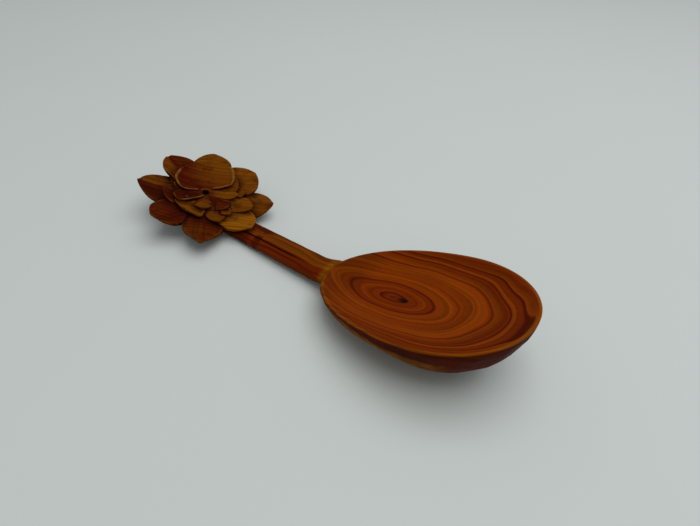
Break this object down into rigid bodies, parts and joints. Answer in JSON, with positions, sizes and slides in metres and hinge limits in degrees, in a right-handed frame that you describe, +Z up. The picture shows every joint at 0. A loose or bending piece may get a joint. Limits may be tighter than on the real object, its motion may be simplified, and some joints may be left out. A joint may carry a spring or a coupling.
{
  "type": "wooden love spoon",
  "caption": "Carved wooden love spoon: shallow egg-shaped bowl, short faceted stem and a layered flower with a small hanging hole, lying on its bowl and the seat under the flower.",
  "frame": {"origin": "on the surface that the spoon lies on, under the middle of its overall box", "axes": "+X along the spoon from the flower to the bowl's tip, +Z up, the bowl's hollow facing up"},
  "size_m": [0.2194, 0.0716, 0.0384],
  "materials": {
    "bowl_wood": "oiled satin, ringed grain",
    "stem_wood": "oiled satin, long grain",
    "flower_wood": "oiled satin, carved"
  },
  "bodies": {
    "root": {"bowl": "bowl_wood", "stem": "stem_wood", "flower_seat": "flower_wood", "flower_bud": "flower_wood", "outer_petal_1": "flower_wood", "outer_petal_2": "flower_wood", "outer_petal_3": "flower_wood", "outer_petal_4": "flower_wood", "outer_petal_5": "flower_wood", "outer_petal_6": "flower_wood", "outer_petal_7": "flower_wood", "outer_petal_8": "flower_wood", "middle_petal_1": "flower_wood", "middle_petal_2": "flower_wood", "middle_petal_3": "flower_wood", "middle_petal_4": "flower_wood", "middle_petal_5": "flower_wood", "middle_petal_6": "flower_wood", "middle_petal_7": "flower_wood", "middle_petal_8": "flower_wood", "middle_petal_9": "flower_wood", "inner_petal_1": "flower_wood", "inner_petal_2": "flower_wood", "inner_petal_3": "flower_wood", "inner_petal_4": "flower_wood", "inner_petal_5": "flower_wood", "inner_petal_6": "flower_wood", "inner_petal_7": "flower_wood"}
  },
  "joints": []
}
